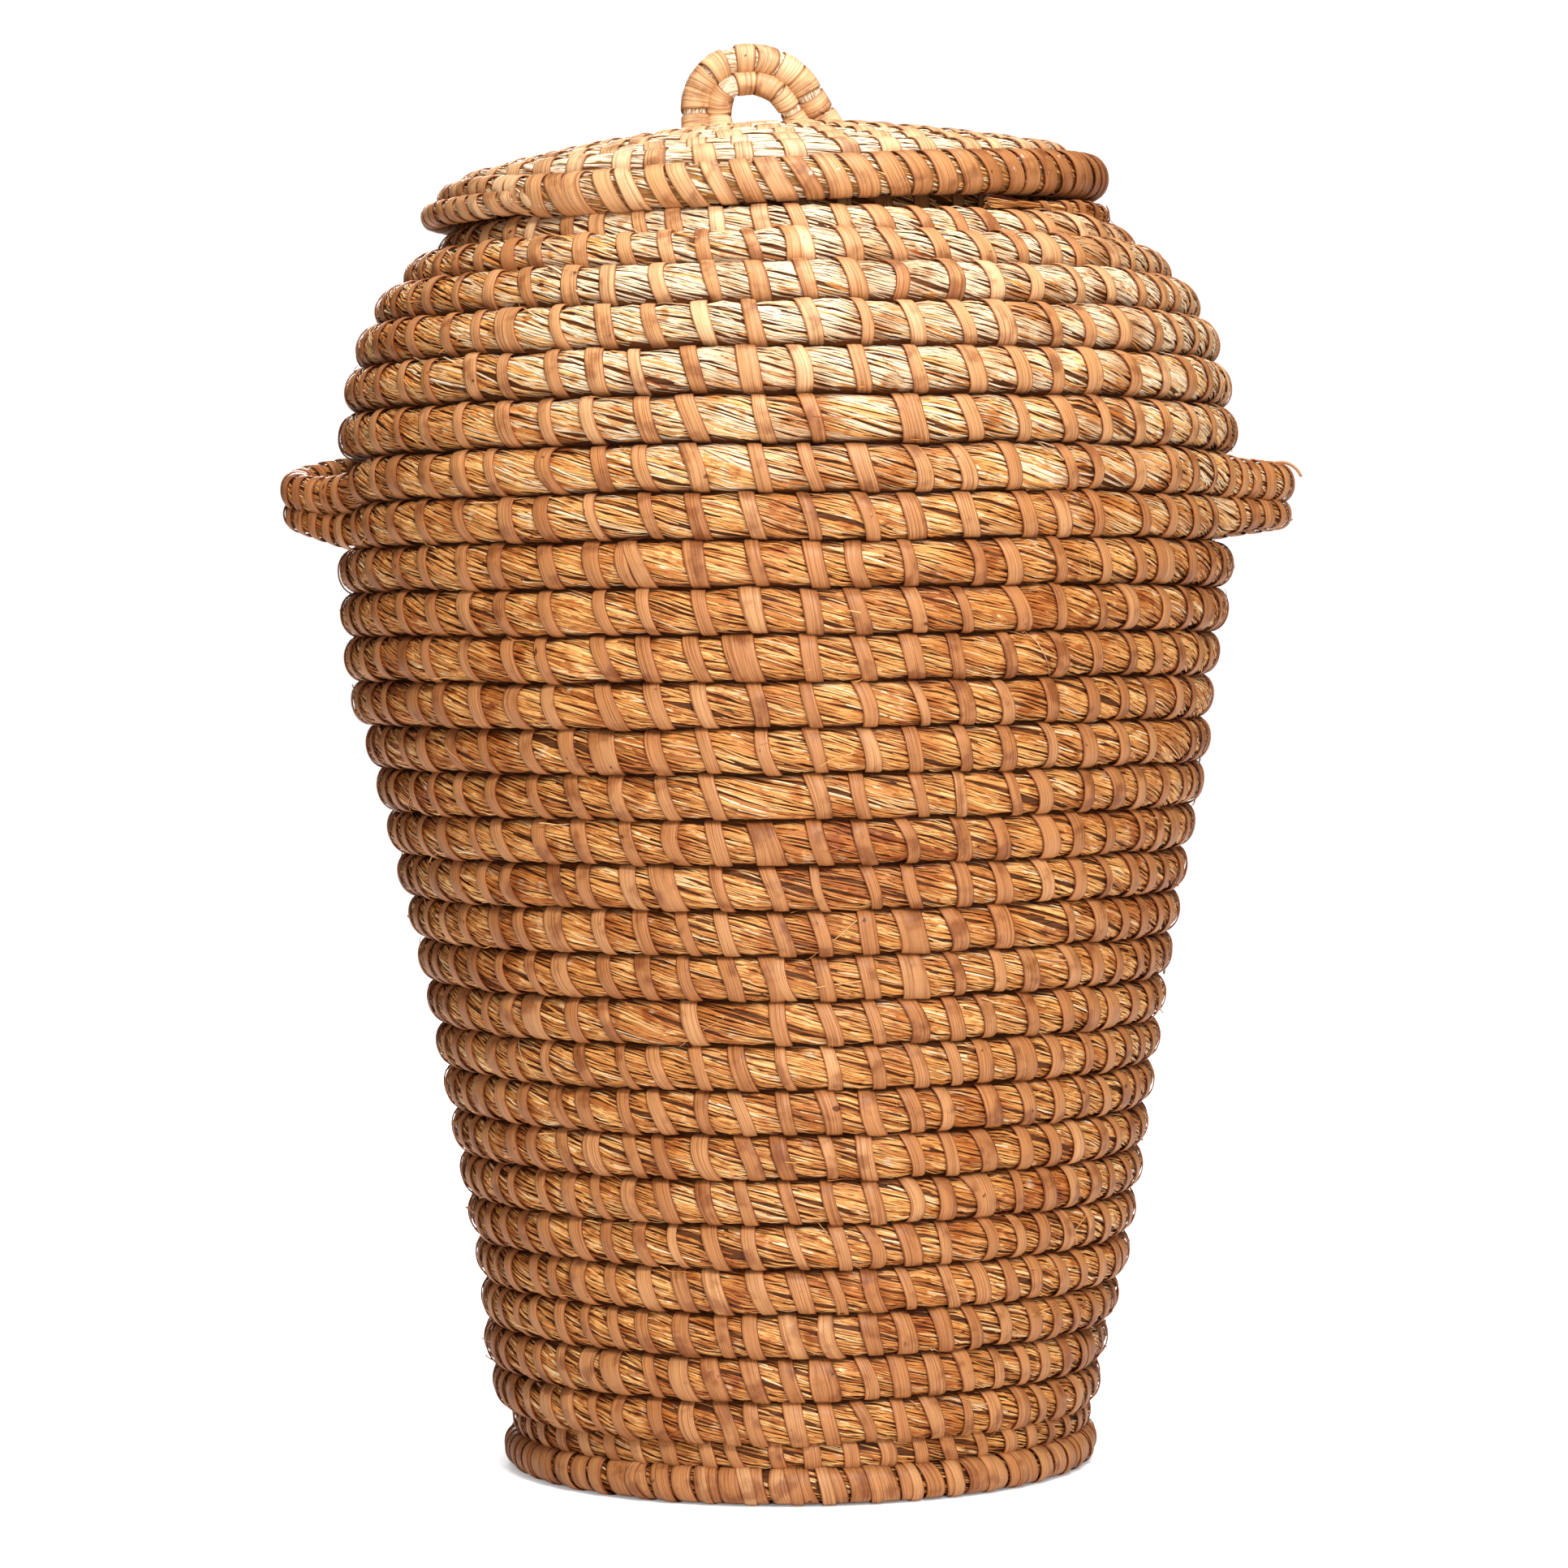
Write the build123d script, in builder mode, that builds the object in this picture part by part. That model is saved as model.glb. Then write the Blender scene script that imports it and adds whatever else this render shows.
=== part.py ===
from build123d import *
import math
import os

# Laundry basket of coiled straw with a lift-off lid.
# One straw bundle winds up the wall: each turn runs level round the front and climbs
# to the next turn at the back. Two turns bow out at the sides as handles.
# Origin at the centre of the foot on the floor, +Z up, front towards -Y. Millimetres.

# Wall coil
COIL_DIAMETER = 19.2
WALL_TURNS = 28
MOUTH_RADIUS = 149.5
MOUTH_HEIGHT = 549.5
BELLY_RADIUS = 196.0
BELLY_HEIGHT = 440.0
WALL_BOTTOM_RADIUS = 130.0
WALL_BOTTOM_HEIGHT = 37.2
FLARE_POINTS = [(146.5, 136.0), (166.5, 252.0), (190.5, 370.0)]
SHOULDER_POINT = (186.8, 510.5)

# The stretch at the back where every turn climbs, as azimuths from +X
CLIMB_START = 140.0
CLIMB_END = 40.0
LEVEL_SPAN = 360.0 - (CLIMB_START - CLIMB_END)

# Foot and the thin first course behind it
FOOT_DIAMETER = 17.0
FOOT_RADIUS = 125.5
FOOT_FLAT = 0.5
START_DIAMETER = 13.0
START_RADIUS = 121.5
START_HEIGHT = 22.8

# Flat base coil
BASE_DIAMETER = 13.3
BASE_PITCH = 14.4
BASE_TURNS = 7
BASE_INNER_RADIUS = 22.4
BASE_HEIGHT = 9.5
KNOT_SQUEEZE = 0.2

# Side handles: turns counted from the bottom, and the bow in plan
HANDLE_TURNS = (21, 22)
HANDLE_SIDES = (0.0, -180.0)
HANDLE_HALF_ANGLE = 22.0
HANDLE_REACH = 26.0
HANDLE_TIP_RADIUS = 42.0

# Thin end of the wall coil, lying on the mouth
TAIL_DIAMETER = 9.0
TAIL_END = -54.0
TAIL_CLIMB_IN = 13.5
TAIL_SET_IN = 3.0

# Lid, in its own frame: rim centre at the origin, axis along its own Z
LID_SHIFT_X = -11.0
LID_HEIGHT = 577.0
LID_RISE_X = 0.050
LID_RISE_Y = 0.035
LID_RIM_DIAMETER = 18.5
LID_RIM_RADIUS = 146.5
LID_COIL_DIAMETER = 16.5
LID_PITCH = 17.9
LID_TURNS = 7
LID_INNER_RADIUS = 23.2
LID_RISE = 24.5
LID_EDGE_RISE = 9.0
COLLAR_WIDTH = 15.0
COLLAR_DEPTH = 20.0
COLLAR_RADIUS = 118.0
COLLAR_HEIGHT = -6.9

# Arched grip of the lid: two ropes, one over the other
GRIP_INNER_DIAMETER = 9.0
GRIP_OUTER_DIAMETER = 11.0
GRIP_INNER_RADIUS = 11.4
GRIP_WIDENING = 7.5
GRIP_SHIFT = -8.0
GRIP_SPRING = 8.0
GRIP_FLAT = 3.0
GRIP_LEG_SLOPE = 62.0
GRIP_ROPE_GAP = 0.6
GRIP_SINK = 5.0

GAP_SAMPLES = 120
LEAST_GAP = 0.4


def on_circle(plane, station, azimuth):
    """Point at an azimuth on the circle of a (radius, height) station."""
    radius, height = station
    angle = math.radians(azimuth)
    return plane.from_local_coords((radius * math.cos(angle), radius * math.sin(angle), height))


def heading(plane, azimuth):
    """Clockwise direction of travel at an azimuth."""
    angle = math.radians(azimuth)
    tip = plane.from_local_coords((math.sin(angle), -math.cos(angle), 0))
    return tip - plane.origin


def level_arc(plane, station, start, end):
    """Clockwise arc at one station."""
    middle = (start + end) / 2
    ThreePointArc(
        on_circle(plane, station, start),
        on_circle(plane, station, middle),
        on_circle(plane, station, end),
    )


def level_turn(plane, station):
    """The level part of a turn, from the end of one climb to the start of the next."""
    middle = CLIMB_END - LEVEL_SPAN / 2
    level_arc(plane, station, CLIMB_END, middle)
    level_arc(plane, station, middle, CLIMB_END - LEVEL_SPAN)


def climb(plane, station, next_station, start=CLIMB_START, end=CLIMB_END):
    """Two tangent arcs that lead from one station to the next."""
    first = on_circle(plane, station, start)
    last = on_circle(plane, next_station, end)
    leaving = heading(plane, start)
    arriving = heading(plane, end)
    chord = last - first
    spread = 2 * (1 - leaving.dot(arriving))
    along = chord.dot(leaving + arriving)
    reach = (math.sqrt(along**2 + spread * chord.dot(chord)) - along) / spread
    corner_out = first + leaving * reach
    corner_in = last - arriving * reach
    meeting = (corner_out + corner_in) * 0.5
    TangentArc(first, meeting, tangent=leaving)
    TangentArc(meeting, last, tangent=corner_in - corner_out)


def handle_bow(station, side):
    """Bow a turn outwards round one side: out, round the tip and back."""
    radius, height = station
    tip_centre = radius + HANDLE_REACH - HANDLE_TIP_RADIUS
    across = tip_centre * math.cos(math.radians(HANDLE_HALF_ANGLE))
    flare = HANDLE_TIP_RADIUS**2 - radius**2 - tip_centre**2 + 2 * radius * across
    flare /= 2 * (radius - across - HANDLE_TIP_RADIUS)
    outward = on_circle(Plane.XY, (1.0, 0.0), side)
    turned_in = on_circle(Plane.XY, (radius + flare, height), side + HANDLE_HALF_ANGLE)
    round_tip = outward * tip_centre + Vector(0, 0, height)
    meeting = turned_in + (round_tip - turned_in) * (flare / (flare + HANDLE_TIP_RADIUS))
    tip = outward * (radius + HANDLE_REACH) + Vector(0, 0, height)
    entry = on_circle(Plane.XY, station, side + HANDLE_HALF_ANGLE)
    leave = on_circle(Plane.XY, station, side - HANDLE_HALF_ANGLE)
    TangentArc(entry, meeting, tangent=heading(Plane.XY, side + HANDLE_HALF_ANGLE))
    sideways = outward.cross(Vector(0, 0, 1))
    mirrored = meeting - sideways * (2 * meeting.dot(sideways))
    ThreePointArc(meeting, tip, mirrored)
    TangentArc(leave, mirrored, tangent=heading(Plane.XY, side - HANDLE_HALF_ANGLE) * -1)


def handle_turn(station):
    """The level part of a turn that bows out at both sides."""
    right, left = HANDLE_SIDES
    front = (right + left) / 2
    level_arc(Plane.XY, station, CLIMB_END, right + HANDLE_HALF_ANGLE)
    handle_bow(station, right)
    level_arc(Plane.XY, station, right - HANDLE_HALF_ANGLE, front)
    level_arc(Plane.XY, station, front, left + HANDLE_HALF_ANGLE)
    handle_bow(station, left)
    level_arc(Plane.XY, station, left - HANDLE_HALF_ANGLE, CLIMB_END - LEVEL_SPAN)


def tube(line, diameter):
    """Sweep a round bundle along a line, inside a part block."""
    path = line.wire()
    with BuildSketch(Plane(origin=path @ 0, z_dir=path % 0)) as section:
        Circle(diameter / 2)
    sweep(section.sketch, path=path)


def least_gap(lower, upper, diameter):
    """Smallest clear distance between one turn and the next, measured on points."""
    near = 3
    gap = math.inf
    for index in range(GAP_SAMPLES + 1):
        point = lower @ (index / GAP_SAMPLES)
        for other in range(max(0, index - near), min(GAP_SAMPLES, index + near) + 1):
            gap = min(gap, (point - upper @ (other / GAP_SAMPLES)).length - diameter)
    return gap


def save(part, name):
    """Label a finished piece and write it as its own node."""
    part.label = name
    export_step(part, f"parts/{name}.step")


def button(plane, radius, thickness):
    """Rounded button that a flat coil starts round, inside a part block."""
    with BuildSketch(Plane(origin=plane.origin, x_dir=plane.x_dir, z_dir=plane.y_dir * -1)) as section:
        with BuildLine():
            edge = radius - thickness / 2
            upper = Line((0, thickness / 2), (edge, thickness / 2))
            rim = ThreePointArc(upper @ 1, (radius, 0), (edge, -thickness / 2))
            lower = Line(rim @ 1, (0, -thickness / 2))
            Line(lower @ 1, upper @ 0)
        make_face()
    revolve(section.sketch, axis=Axis(plane.origin, plane.z_dir))


def flat_coil_line(plane, coil_stations, end_station):
    """Line of a flat or domed coil: turn by turn, and into its ring."""
    with BuildLine() as line:
        for station, next_station in zip(coil_stations, coil_stations[1:] + [end_station]):
            level_turn(plane, station)
            climb(plane, station, next_station)
    return line


def coil_gap(plane, coil_stations, diameter):
    """Least gap between the turns of a flat or domed coil."""
    turns = []
    for station, next_station in zip(coil_stations, coil_stations[1:]):
        with BuildLine() as line:
            level_turn(plane, station)
            climb(plane, station, next_station)
        turns.append(line.wire())
    return min(least_gap(lower, upper, diameter) for lower, upper in zip(turns, turns[1:]))


os.makedirs("parts", exist_ok=True)

# Stations of the wall coil: the centre of the bundle at each turn, from the foot to the mouth
with BuildLine() as profile:
    Spline(
        (WALL_BOTTOM_RADIUS, WALL_BOTTOM_HEIGHT),
        *FLARE_POINTS,
        (BELLY_RADIUS, BELLY_HEIGHT),
        SHOULDER_POINT,
        (MOUTH_RADIUS, MOUTH_HEIGHT),
    )
profile_line = profile.wire()
coil_pitch = profile_line.length / (WALL_TURNS - 1)
wall_stations = []
for turn in range(WALL_TURNS):
    centre = profile_line @ (turn / (WALL_TURNS - 1))
    wall_stations.append((centre.X, centre.Y))
tail_rise = math.sqrt(coil_pitch**2 - TAIL_CLIMB_IN**2)
wall_stations.append((MOUTH_RADIUS - TAIL_CLIMB_IN, MOUTH_HEIGHT + tail_rise))

# Foot ring, flat where it stands
foot_height = FOOT_DIAMETER / 2 - FOOT_FLAT
with BuildPart() as foot_ring:
    with BuildSketch(Plane.XZ):
        with Locations((FOOT_RADIUS, foot_height)):
            Circle(FOOT_DIAMETER / 2)
        with Locations((FOOT_RADIUS, -FOOT_DIAMETER / 2)):
            Rectangle(2 * FOOT_DIAMETER, FOOT_DIAMETER, mode=Mode.SUBTRACT)
    revolve(axis=Axis.Z)
save(foot_ring.part, "foot_ring")

# Flat base coil, out to the foot ring
base_plane = Plane.XY.offset(BASE_HEIGHT)
base_stations = [(BASE_INNER_RADIUS + turn * BASE_PITCH, 0.0) for turn in range(BASE_TURNS)]
base_end = (FOOT_RADIUS, foot_height - BASE_HEIGHT)
with BuildPart() as base_coil:
    tube(flat_coil_line(base_plane, base_stations, base_end), BASE_DIAMETER)
    add(foot_ring.part, mode=Mode.SUBTRACT)
save(base_coil.part, "base_coil")

# Tight start of the base coil, squeezed into its first turn
with BuildPart() as base_knot:
    button(base_plane, BASE_INNER_RADIUS - BASE_DIAMETER / 2 + KNOT_SQUEEZE, BASE_DIAMETER)
save(base_knot.part, "base_knot")

# Thin first course, set in behind the foot ring
with BuildPart() as start_course:
    with BuildLine() as start_line:
        level_turn(Plane.XY, (START_RADIUS, START_HEIGHT))
        climb(Plane.XY, (START_RADIUS, START_HEIGHT), wall_stations[0])
    tube(start_line, START_DIAMETER)
save(start_course.part, "start_course")

# Wall coil, one node a turn: each ends on the face that the next one starts from
turn_wires = []
for turn, (station, next_station) in enumerate(zip(wall_stations, wall_stations[1:]), start=1):
    with BuildPart() as course:
        with BuildLine() as turn_line:
            if turn in HANDLE_TURNS:
                handle_turn(station)
            else:
                level_turn(Plane.XY, station)
            climb(Plane.XY, station, next_station)
        tube(turn_line, COIL_DIAMETER)
    if turn in HANDLE_TURNS:
        name = "handle_course_lower" if turn == min(HANDLE_TURNS) else "handle_course_upper"
    elif turn < min(HANDLE_TURNS):
        name = f"wall_course_{turn:02d}"
    else:
        name = f"shoulder_course_{turn - max(HANDLE_TURNS)}"
    save(course.part, name)
    turn_wires.append(turn_line.wire())

# Thin end of the coil: it comes down on the mouth and lies there
tail_rest = (COIL_DIAMETER + TAIL_DIAMETER) / 2 + LEAST_GAP
tail_height = MOUTH_HEIGHT + math.sqrt(tail_rest**2 - TAIL_SET_IN**2)
with BuildPart() as coil_tail:
    with BuildLine() as tail_line:
        climb(Plane.XY, wall_stations[-1], (MOUTH_RADIUS - TAIL_SET_IN, tail_height), CLIMB_END, TAIL_END)
    tube(tail_line, TAIL_DIAMETER)
save(coil_tail.part, "coil_tail")

# Lid frame: shifted and tilted as it lies on the mouth, raised by the coil's thin end
lid_plane = Plane(
    origin=(LID_SHIFT_X, 0, LID_HEIGHT),
    x_dir=(1, 0, LID_RISE_X),
    z_dir=(-LID_RISE_X, -LID_RISE_Y, 1),
)
lid_section = Plane(origin=lid_plane.origin, x_dir=lid_plane.x_dir, z_dir=lid_plane.y_dir * -1)
lid_axis = Axis(lid_plane.origin, lid_plane.z_dir)


lid_radii = [LID_INNER_RADIUS + turn * LID_PITCH for turn in range(LID_TURNS)]


def dome(radius):
    """Height of the lid's bundle centre at a radius."""
    return LID_RISE - (LID_RISE - LID_EDGE_RISE) * (radius / lid_radii[-1]) ** 2


# Closely wrapped rim
with BuildPart() as lid_rim:
    with BuildSketch(lid_section):
        with Locations((LID_RIM_RADIUS, 0)):
            Circle(LID_RIM_DIAMETER / 2)
    revolve(axis=lid_axis)
save(lid_rim.part, "lid_rim")

# Arched grip: two ropes, one inside the other, sunk into the lid.
# The left legs stand upright, and the right half is wider and slopes down to the lid.
lid_top = LID_RISE + LID_COIL_DIAMETER / 2
grip_foot = lid_top - GRIP_SINK
grip_spring = lid_top + GRIP_SPRING
outer_radius = GRIP_INNER_RADIUS + (GRIP_INNER_DIAMETER + GRIP_OUTER_DIAMETER) / 2 + GRIP_ROPE_GAP
slope = math.radians(GRIP_LEG_SLOPE)
grips = []
for name, radius, diameter in (
    ("lid_grip_inner", GRIP_INNER_RADIUS, GRIP_INNER_DIAMETER),
    ("lid_grip_outer", outer_radius, GRIP_OUTER_DIAMETER),
):
    left = GRIP_SHIFT - radius
    wide_radius = radius + GRIP_WIDENING
    wide_centre = grip_spring - GRIP_WIDENING
    flat_end = GRIP_SHIFT + GRIP_FLAT
    right = flat_end + wide_radius * math.sin(slope)
    leg_top = wide_centre + wide_radius * math.cos(slope)
    leg_run = (leg_top - grip_foot) / math.tan(slope)
    with BuildPart() as grip:
        with BuildLine(lid_section) as grip_line:
            Line((left, grip_foot), (left, grip_spring))
            CenterArc((GRIP_SHIFT, grip_spring), radius, 180, -90)
            Line((GRIP_SHIFT, grip_spring + radius), (flat_end, grip_spring + radius))
            CenterArc((flat_end, wide_centre), wide_radius, 90, -GRIP_LEG_SLOPE)
            Line((right, leg_top), (right + leg_run, grip_foot))
        tube(grip_line, diameter)
    save(grip.part, name)
    grips.append(grip.part)

# Domed lid coil, out to the rim
lid_stations = [(radius, dome(radius)) for radius in lid_radii]
with BuildPart() as lid_coil:
    tube(flat_coil_line(lid_plane, lid_stations, (LID_RIM_RADIUS, 0.0)), LID_COIL_DIAMETER)
    add(lid_rim.part, mode=Mode.SUBTRACT)
    add(grips, mode=Mode.SUBTRACT)
save(lid_coil.part, "lid_coil")

# Tight start of the lid coil, squeezed into its first turn
knot_plane = lid_plane.offset(dome(LID_INNER_RADIUS))
with BuildPart() as lid_knot:
    button(knot_plane, LID_INNER_RADIUS - LID_COIL_DIAMETER / 2 + KNOT_SQUEEZE, LID_COIL_DIAMETER)
    add(grips, mode=Mode.SUBTRACT)
save(lid_knot.part, "lid_knot")

# Collar sewn under the lid, inside the mouth: a bundle that is deeper than it is wide
with BuildPart() as lid_collar:
    with BuildSketch(lid_section):
        with Locations((COLLAR_RADIUS, COLLAR_HEIGHT)):
            SlotOverall(COLLAR_DEPTH, COLLAR_WIDTH, rotation=90)
    revolve(axis=lid_axis)
save(lid_collar.part, "lid_collar")

print(f"wall coil: pitch {coil_pitch:.2f} mm")
wall_gap = min(least_gap(low, high, COIL_DIAMETER) for low, high in zip(turn_wires, turn_wires[1:]))
base_gap = coil_gap(base_plane, base_stations, BASE_DIAMETER)
lid_gap = coil_gap(lid_plane, lid_stations, LID_COIL_DIAMETER)
for name, gap in (("wall", wall_gap), ("base", base_gap), ("lid", lid_gap)):
    print(f"{name} coil: least gap between turns {gap:.2f} mm")
    if gap < LEAST_GAP:
        raise ValueError(f"the {name} coil touches itself")
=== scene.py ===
import math
from collections import namedtuple

import bpy
import numpy as np
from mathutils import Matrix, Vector


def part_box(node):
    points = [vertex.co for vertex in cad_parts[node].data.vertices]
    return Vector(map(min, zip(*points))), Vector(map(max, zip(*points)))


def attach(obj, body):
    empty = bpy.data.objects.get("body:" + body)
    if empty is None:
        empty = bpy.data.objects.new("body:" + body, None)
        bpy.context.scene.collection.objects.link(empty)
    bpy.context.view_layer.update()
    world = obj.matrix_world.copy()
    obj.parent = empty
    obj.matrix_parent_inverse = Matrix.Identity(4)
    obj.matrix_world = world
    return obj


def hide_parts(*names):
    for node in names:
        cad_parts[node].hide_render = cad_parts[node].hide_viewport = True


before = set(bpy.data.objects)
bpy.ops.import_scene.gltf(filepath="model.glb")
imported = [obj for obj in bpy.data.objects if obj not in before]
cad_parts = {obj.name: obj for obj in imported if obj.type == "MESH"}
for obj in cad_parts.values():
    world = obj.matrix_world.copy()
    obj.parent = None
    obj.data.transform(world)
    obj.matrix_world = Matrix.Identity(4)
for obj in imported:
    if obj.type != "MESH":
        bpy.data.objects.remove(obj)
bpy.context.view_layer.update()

# Laundry basket of coiled straw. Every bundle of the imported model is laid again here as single
# straws round a core, and sewn with strips of split wood. Metres, +Z up, front towards -Y.

MM = 0.001
DEGREE = math.pi / 180
SEED = 28

# Wall coil: where each turn climbs to the next, as azimuths from +X
COIL_RADIUS = 9.6 * MM
STRAW_RADIUS = 8.9 * MM
COIL_TALL = 1.1
CLIMB_START = 140.0
CLIMB_END = 40.0
LEVEL_SPAN = 360.0 - (CLIMB_START - CLIMB_END)
FRONT_RISE = 1.5 * MM
CORE_RIDGE = 2.4 * MM
TAIL_CLIMB_IN = 13.5 * MM

# The wall is not quite straight: sideways shift by height, and the upper shoulder raised and, below the
# mouth, drawn in. Levels count the turns of the coil.
SWAY_HEIGHTS = np.array([0, 20, 42, 64, 86, 140, 240, 328, 350, 374, 396, 470, 560]) * MM
SWAY = np.array([0, 0, -1.5, -1.5, 2.3, 1.5, -0.5, -2.0, -4.8, -4.8, -2.6, -1.2, 0]) * MM
SHOULDER_DRAW_IN = 1.8 * MM
SHOULDER_RAISE = 1.6 * MM
SHOULDER_LEVELS = (21, 24)
MOUTH_LEVELS = (28, 26)
TAPER_LEVELS = (27.7, 28.0)
WALL_UNEVEN_OUT = 0.7 * MM
WALL_UNEVEN_UP = 0.6 * MM
WALL_RIPPLE = 0.35 * MM

# Painted shade between the courses: less of it up the shoulder, none on the last course
SHADE_LOST = 0.5
SHADE_LOSS_LEVELS = (20, 26)
SHADE_END_LEVELS = (27.2, 26.8)

# Side handles: bow of the two handle courses, thinner than the wall and a little askew. Values by side
# are for the right and the left handle, values by course for the lower and the upper one.
HANDLE_SIDES = (0.0, -180.0)
HANDLE_HALF_ANGLE = 22.0
HANDLE_REACH = 26.0 * MM
HANDLE_TIP_RADIUS = 42.0 * MM
HANDLE_THINNING = ((0.38, 0.17), (0.44, 0.22))
HANDLE_TIP_SHIFT = ((2.8 * MM, -3.0 * MM), (7.0 * MM, -2.0 * MM))
HANDLE_TILT = (0.5 * MM, 5.0 * MM)
HANDLE_FULL_BOW = 0.2 * HANDLE_HALF_ANGLE
HANDLE_SHADE_BOW = (0.3, 0.05)
HANDLE_PUSH_OUT = 0.6
HANDLE_WRAPPED = 14.0
WRAP_SPACING = 11.0 * MM
WRAP_STRAY = 0.4 * MM
WRAP_WIDTH = 6.6 * MM
WRAP_WIDTH_SPREAD = 0.6 * MM
WRAP_LEAN = 3.5 * MM

# Foot, first course and base
FOOT_RADIUS = 8.5 * MM
FOOT_SET_OUT = 1.4 * MM
FOOT_LIFT = 0.8 * MM
FOOT_THINNING = 0.9 * MM
START_RADIUS = 6.5 * MM
START_SET_OUT = 4.5 * MM
START_SET_OUT_TURNS = (1.0, 0.4)
START_GROWTH_TURNS = (0.75, 1.0)
THIN_START = 0.12
BASE_RADIUS = 6.65 * MM
BASE_TALL = 1.06
BASE_PITCH = 14.4 * MM
BASE_TURNS = 7
BASE_INNER_RADIUS = 22.4 * MM
BASE_HEIGHT = 9.5 * MM

# Loose end of the wall coil, with its ties as shares of its length
TAIL_RADIUS = 4.5 * MM
TAIL_END = -54.0
TAIL_SET_IN = 3.0 * MM
TAIL_TIP = (0.82, 1.0)
TAIL_TIP_THINNING = 0.75
TAIL_TIES = np.array([0.06, 0.15, 0.24, 0.33, 0.42, 0.5, 0.58, 0.66, 0.73, 0.78, 0.85])

# Lid, in its own frame
LID_ORIGIN = np.array([-11.0, 0.0, 577.0]) * MM
LID_RISE_X = 0.050
LID_RISE_Y = 0.035
LID_RIM_RADIUS = 146.5 * MM
LID_COIL_RADIUS = 8.25 * MM
LID_COIL_TALL = 1.08
LID_PITCH = 17.9 * MM
LID_TURNS = 7
LID_INNER_RADIUS = 23.2 * MM
LID_RISE = 24.5 * MM
LID_EDGE_RISE = 9.0 * MM
LID_END_SET_IN = 8.0 * MM
LID_END_DROP = 3.0 * MM
LID_RIGHT_SAG = 2.0 * MM
LID_SAG_SPAN = (10.0 * MM, 90.0 * MM)
LID_COIL_SHADE = 0.25
LID_KNOT_RADIUS = 6.9 * MM
COLLAR_THICK = 7.5 * MM
COLLAR_TALL = 20.0 / 15.0
COLLAR_RADIUS = 118.0 * MM
COLLAR_HEIGHT = -6.9 * MM
GRIP_SHIFT = -6.6 * MM
GRIP_SPRING = 8.0 * MM
GRIP_FLAT = 3.0 * MM
GRIP_WIDENING = 7.5 * MM
GRIP_SINK = 5.0 * MM
GRIP_LEG_SLOPE = 62.0 * DEGREE
GRIP_PADDING = 0.45 * MM
GRIP_ROPES = (("lid_grip_inner", 11.4 * MM, 4.5 * MM), ("lid_grip_outer", 22.0 * MM, 5.5 * MM))

# The rim is the last turn of the lid: it starts behind its own thin end, which runs round the left side
RIM_START = -210.0
RIM_JOIN = -128.0
RIM_END = 232.0
RIM_STOPS = (RIM_START, -150.0, RIM_JOIN, -60.0, -15.0, 30.0, 146.0, 170.0, 222.0, RIM_END)
RIM_RADII = np.array([141.5, 141.5, 146.5, 146.5, 146.5, 146.5, 146.5, 150.2, 150.4, 150.0]) * MM
RIM_HEIGHTS = np.array([6.4, 6.4, 0.0, 0.0, -1.2, -0.6, 0.0, -0.6, -0.8, -0.4]) * MM
RIM_THICKNESSES = np.array([5.8, 6.2, 9.0, 9.0, 10.0, 9.4, 9.0, 5.2, 5.0, 3.8]) * MM
RIM_SOFTENING = 9

# Straws: where they lie, as angles round a bundle, how many, and how long, in millimetres
OUTSIDE = (-0.56 * math.pi, 0.56 * math.pi)
INSIDE = (0.56 * math.pi, 1.44 * math.pi)
STRAWS_PER_METRE = 850
INSIDE_STRAWS_PER_METRE = 170
FRAYS_PER_COURSE = 16
KNOT_STRAW_LENGTHS = (15, 35)

# Sewing of the wall. Stitches stand in columns, placed in degrees, that lean from course to course. A
# small share of them is missing, and another is doubled.
STITCHES_PER_TURN = 55
STITCH_COLUMN_LEAN = 0.15
STITCH_STRAY = 0.55
STITCHES_MISSING = 0.015
STITCHES_DOUBLED = 0.035
DOUBLE_STEP = 1.6
STRIP_WIDTH = 6.9 * MM
STRIP_WIDTH_SPREAD = 1.0 * MM
STRIP_THICKNESS = 0.7 * MM
STRIP_LEAN = 5.5 * MM
STRIP_LEAN_SPREAD = 1.1 * MM

# Narrow strips over the foot's own
OVER_SPACING = 17.5 * MM
OVER_STRAY = 1.4 * MM
OVER_WIDTH = 5.4 * MM
OVER_WIDTH_SPREAD = 0.7 * MM
OVER_LIFT = 0.75 * MM
OVER_PALE = 0.1
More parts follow.
